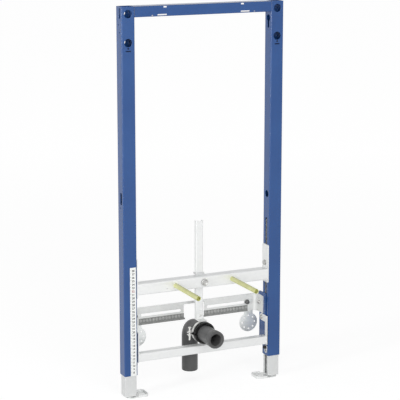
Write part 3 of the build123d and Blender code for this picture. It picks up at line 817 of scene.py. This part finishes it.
# floor, light and camera
floorLook = {"reach": 40.0, "colour": (0.9, 0.9, 0.9), "nearWhite": 0.65, "farWhite": 0.715, "fade": 4.0,
             "glow": 1.25}  # share of white under the frame and from 4 m on, the rest takes the shadow
roomLook = {"ambient": 0.36}
lampAim = Vector((0, 0, 0.5))
lamps = {"left strip": {"place": (-4.0, -1.1, 1.0), "wide": 0.5, "tall": 1.9, "watts": 60.0},
         "front softbox": {"place": (-1.0, -4.3, 1.7), "wide": 4.0, "tall": 3.0, "watts": 116.0}}
view = {"place": (-1.8597, -3.9135, 1.4864), "lens": 140.14, "yaw": 25.17, "pitch": 12.003, "reach": 200.0}


def seenDirectly(tree):  # 1 for camera, mirror and see-through rays
    path = tree.nodes.new("ShaderNodeLightPath")
    first, both = tree.nodes.new("ShaderNodeMath"), tree.nodes.new("ShaderNodeMath")
    tree.links.new(path.outputs["Is Camera Ray"], first.inputs[0])
    tree.links.new(path.outputs["Is Glossy Ray"], first.inputs[1])
    tree.links.new(first.outputs["Value"], both.inputs[0])
    tree.links.new(path.outputs["Is Transmission Ray"], both.inputs[1])
    both.use_clamp = True
    return both.outputs["Value"]


def whiteShare(tree, look):  # by the distance from the frame
    away = tree.nodes.new("ShaderNodeVectorMath")
    away.operation = "LENGTH"
    tree.links.new(tree.nodes.new("ShaderNodeTexCoord").outputs["Object"], away.inputs[0])
    fade = tree.nodes.new("ShaderNodeMapRange")
    fade.inputs["From Max"].default_value = look["fade"]
    fade.inputs["To Min"].default_value = look["nearWhite"]
    fade.inputs["To Max"].default_value = look["farWhite"]
    tree.links.new(away.outputs["Value"], fade.inputs["Value"])
    return fade.outputs["Result"]


def makeFloor(look):
    reach = look["reach"]
    bm = bmesh.new()
    bm.faces.new([bm.verts.new((x, y, 0)) for x, y in rectangle(-reach, reach, -reach, reach)])
    mesh = bpy.data.meshes.new("floor")
    bm.to_mesh(mesh)
    bm.free()
    mat = bpy.data.materials.new("pale_floor")
    mat.use_nodes = True
    tree = mat.node_tree
    tree.nodes.remove(tree.nodes["Principled BSDF"])
    matt = tree.nodes.new("ShaderNodeBsdfDiffuse")
    matt.inputs["Color"].default_value = (*look["colour"], 1)
    white = tree.nodes.new("ShaderNodeEmission")
    white.inputs["Strength"].default_value = look["glow"]
    mix = tree.nodes.new("ShaderNodeMixShader")
    share = tree.nodes.new("ShaderNodeMath")
    share.operation = "MULTIPLY"
    tree.links.new(seenDirectly(tree), share.inputs[0])
    tree.links.new(whiteShare(tree, look), share.inputs[1])
    tree.links.new(share.outputs["Value"], mix.inputs["Fac"])
    tree.links.new(matt.outputs["BSDF"], mix.inputs[1])
    tree.links.new(white.outputs["Emission"], mix.inputs[2])
    tree.links.new(mix.outputs["Shader"], tree.nodes["Material Output"].inputs["Surface"])
    mesh.materials.append(mat)
    floor = bpy.data.objects.new("floor", mesh)
    bpy.context.scene.collection.objects.link(floor)


def makeRoom(look):
    world = bpy.data.worlds.new("studio")
    bpy.context.scene.world = world
    world.use_nodes = True
    tree = world.node_tree
    level = tree.nodes.new("ShaderNodeMapRange")
    level.inputs["To Min"].default_value = look["ambient"]
    level.inputs["To Max"].default_value = 1.0
    tree.links.new(seenDirectly(tree), level.inputs["Value"])
    tree.nodes["Background"].inputs["Color"].default_value = (1, 1, 1, 1)
    tree.links.new(level.outputs["Result"], tree.nodes["Background"].inputs["Strength"])


def makeLamp(name, look):
    lamp = bpy.data.lights.new(name, "AREA")
    lamp.shape = "RECTANGLE"
    lamp.size, lamp.size_y = look["wide"], look["tall"]
    lamp.energy = look["watts"]
    holder = bpy.data.objects.new(name, lamp)
    holder.location = look["place"]
    holder.rotation_euler = (lampAim - Vector(look["place"])).to_track_quat("-Z", "Y").to_euler()
    bpy.context.scene.collection.objects.link(holder)


def makeCamera(look):
    camera = bpy.data.cameras.new("camera")
    camera.lens = look["lens"]
    camera.clip_end = look["reach"]
    holder = bpy.data.objects.new("camera", camera)
    holder.location = look["place"]
    holder.rotation_euler = (math.radians(90 - look["pitch"]), 0, math.radians(-look["yaw"]))
    bpy.context.scene.collection.objects.link(holder)
    bpy.context.scene.camera = holder


makeFloor(floorLook)
makeRoom(roomLook)
for name, look in lamps.items():
    makeLamp(name, look)
makeCamera(view)
bpy.context.scene.view_settings.view_transform = "Standard"
print("studio ready")

bpy.context.view_layer.update()
